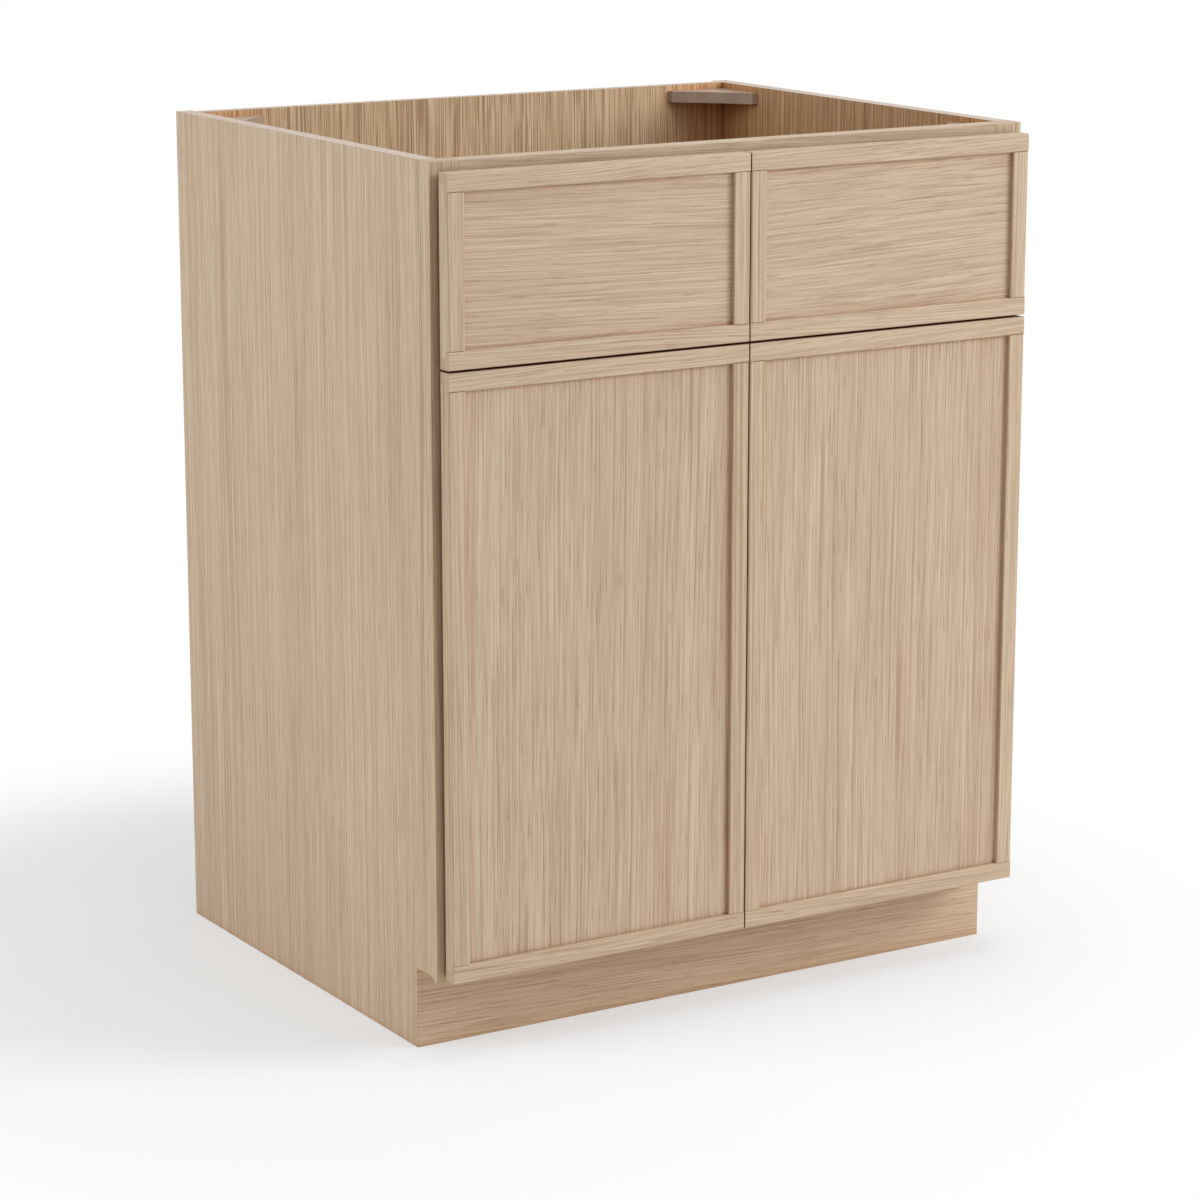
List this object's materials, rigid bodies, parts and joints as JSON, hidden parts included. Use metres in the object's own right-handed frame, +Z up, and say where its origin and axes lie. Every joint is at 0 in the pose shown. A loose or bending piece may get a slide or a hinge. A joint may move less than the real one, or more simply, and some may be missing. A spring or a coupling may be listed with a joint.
{
  "type": "sink base cabinet",
  "caption": "Open-top sink base cabinet in light oak with a face frame, false drawer fronts over hinged doors, a recessed toe kick and braced top corners.",
  "frame": {"origin": "middle of the footprint on the floor", "axes": "+X to the right seen from the front, +Y to the wall, +Z up; the fronts face -Y"},
  "size_m": [0.6858, 0.5684, 0.8763],
  "materials": {
    "oak_side": "satin, fine straight vertical grain",
    "oak_front": "satin, open straight grain along each member",
    "oak_inside": "satin, straight grain",
    "brace_plastic": "moulded, satin taupe",
    "hinge_nickel": "nickel plate",
    "bumper_rubber": "soft, milky"
  },
  "bodies": {
    "carcass": {"left_side_panel": "oak_side", "right_side_panel": "oak_side", "back_panel": "oak_inside", "floor_panel": "oak_inside", "toe_kick_board": "oak_front", "frame_left_stile": "oak_front", "frame_right_stile": "oak_front", "frame_top_rail": "oak_front", "frame_middle_rail": "oak_front", "frame_bottom_rail": "oak_front", "frame_mullion": "oak_front", "left_front_outer_cleat": "oak_inside", "left_front_inner_cleat": "oak_inside", "right_front_inner_cleat": "oak_inside", "right_front_outer_cleat": "oak_inside", "front_left_brace": "brace_plastic", "front_right_brace": "brace_plastic", "rear_right_brace": "brace_plastic", "rear_left_brace": "brace_plastic", "left_false_front_bottom_rail": "oak_front", "left_false_front_top_rail": "oak_front", "left_false_front_left_stile": "oak_front", "left_false_front_right_stile": "oak_front", "left_false_front_panel": "oak_front", "right_false_front_bottom_rail": "oak_front", "right_false_front_top_rail": "oak_front", "right_false_front_left_stile": "oak_front", "right_false_front_right_stile": "oak_front", "right_false_front_panel": "oak_front", "left_lower_hinge_arm": "hinge_nickel", "left_upper_hinge_arm": "hinge_nickel", "right_lower_hinge_arm": "hinge_nickel", "right_upper_hinge_arm": "hinge_nickel"},
    "left_door": {"left_door_bottom_rail": "oak_front", "left_door_top_rail": "oak_front", "left_door_left_stile": "oak_front", "left_door_right_stile": "oak_front", "left_door_panel": "oak_front", "left_lower_hinge_cup": "hinge_nickel", "left_lower_hinge_pin": "hinge_nickel", "left_upper_hinge_cup": "hinge_nickel", "left_upper_hinge_pin": "hinge_nickel", "left_lower_bumper": "bumper_rubber", "left_upper_bumper": "bumper_rubber"},
    "right_door": {"right_door_bottom_rail": "oak_front", "right_door_top_rail": "oak_front", "right_door_left_stile": "oak_front", "right_door_right_stile": "oak_front", "right_door_panel": "oak_front", "right_lower_hinge_cup": "hinge_nickel", "right_lower_hinge_pin": "hinge_nickel", "right_upper_hinge_cup": "hinge_nickel", "right_upper_hinge_pin": "hinge_nickel", "right_lower_bumper": "bumper_rubber", "right_upper_bumper": "bumper_rubber"}
  },
  "joints": [
    {"name": "left_door_hinge", "type": "hinge", "parent": "carcass", "child": "left_door", "pos_m": [-0.32795, -0.27435, 0.381], "axis": [0, 0, -1], "range_deg": [0, 105]},
    {"name": "right_door_hinge", "type": "hinge", "parent": "carcass", "child": "right_door", "pos_m": [0.32795, -0.27435, 0.381], "axis": [0, 0, 1], "range_deg": [0, 105]}
  ]
}
